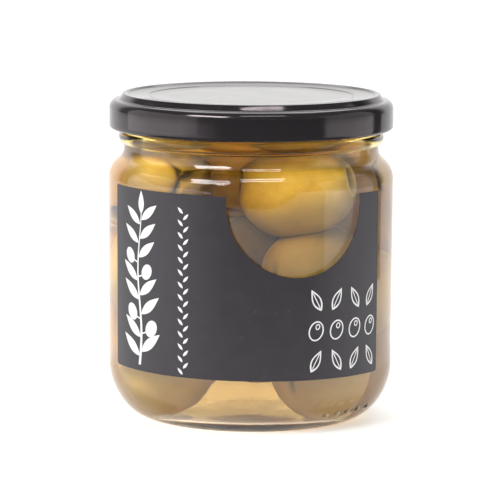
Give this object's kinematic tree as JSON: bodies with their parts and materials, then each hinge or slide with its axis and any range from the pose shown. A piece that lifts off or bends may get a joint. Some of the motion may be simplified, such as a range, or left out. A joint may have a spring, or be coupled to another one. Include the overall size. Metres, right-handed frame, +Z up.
{
  "type": "jar of olives",
  "caption": "Shut round glass jar of large pitted green olives in brine, with a glossy black twist-off metal lid and a dark wrapped label with a round window",
  "frame": {"origin": "centre of the jar's foot, on the surface it stands on", "axes": "+Z up along the jar's axis, -Y out of the front of the label, +X to the right as the label is read"},
  "size_m": [0.0852, 0.0855, 0.0968],
  "materials": {
    "clear_glass": "clear moulded glass, smooth, slightly wavy",
    "black_lacquered_metal": "glossy black lacquer on tinplate",
    "charcoal_label": null,
    "cured_olive": "smooth wet skin of cured green olives, yellow gold in brine"
  },
  "bodies": {
    "root": {"jar": "clear_glass", "lid": "black_lacquered_metal", "label": "charcoal_label", "olives": "cured_olive"}
  },
  "joints": []
}
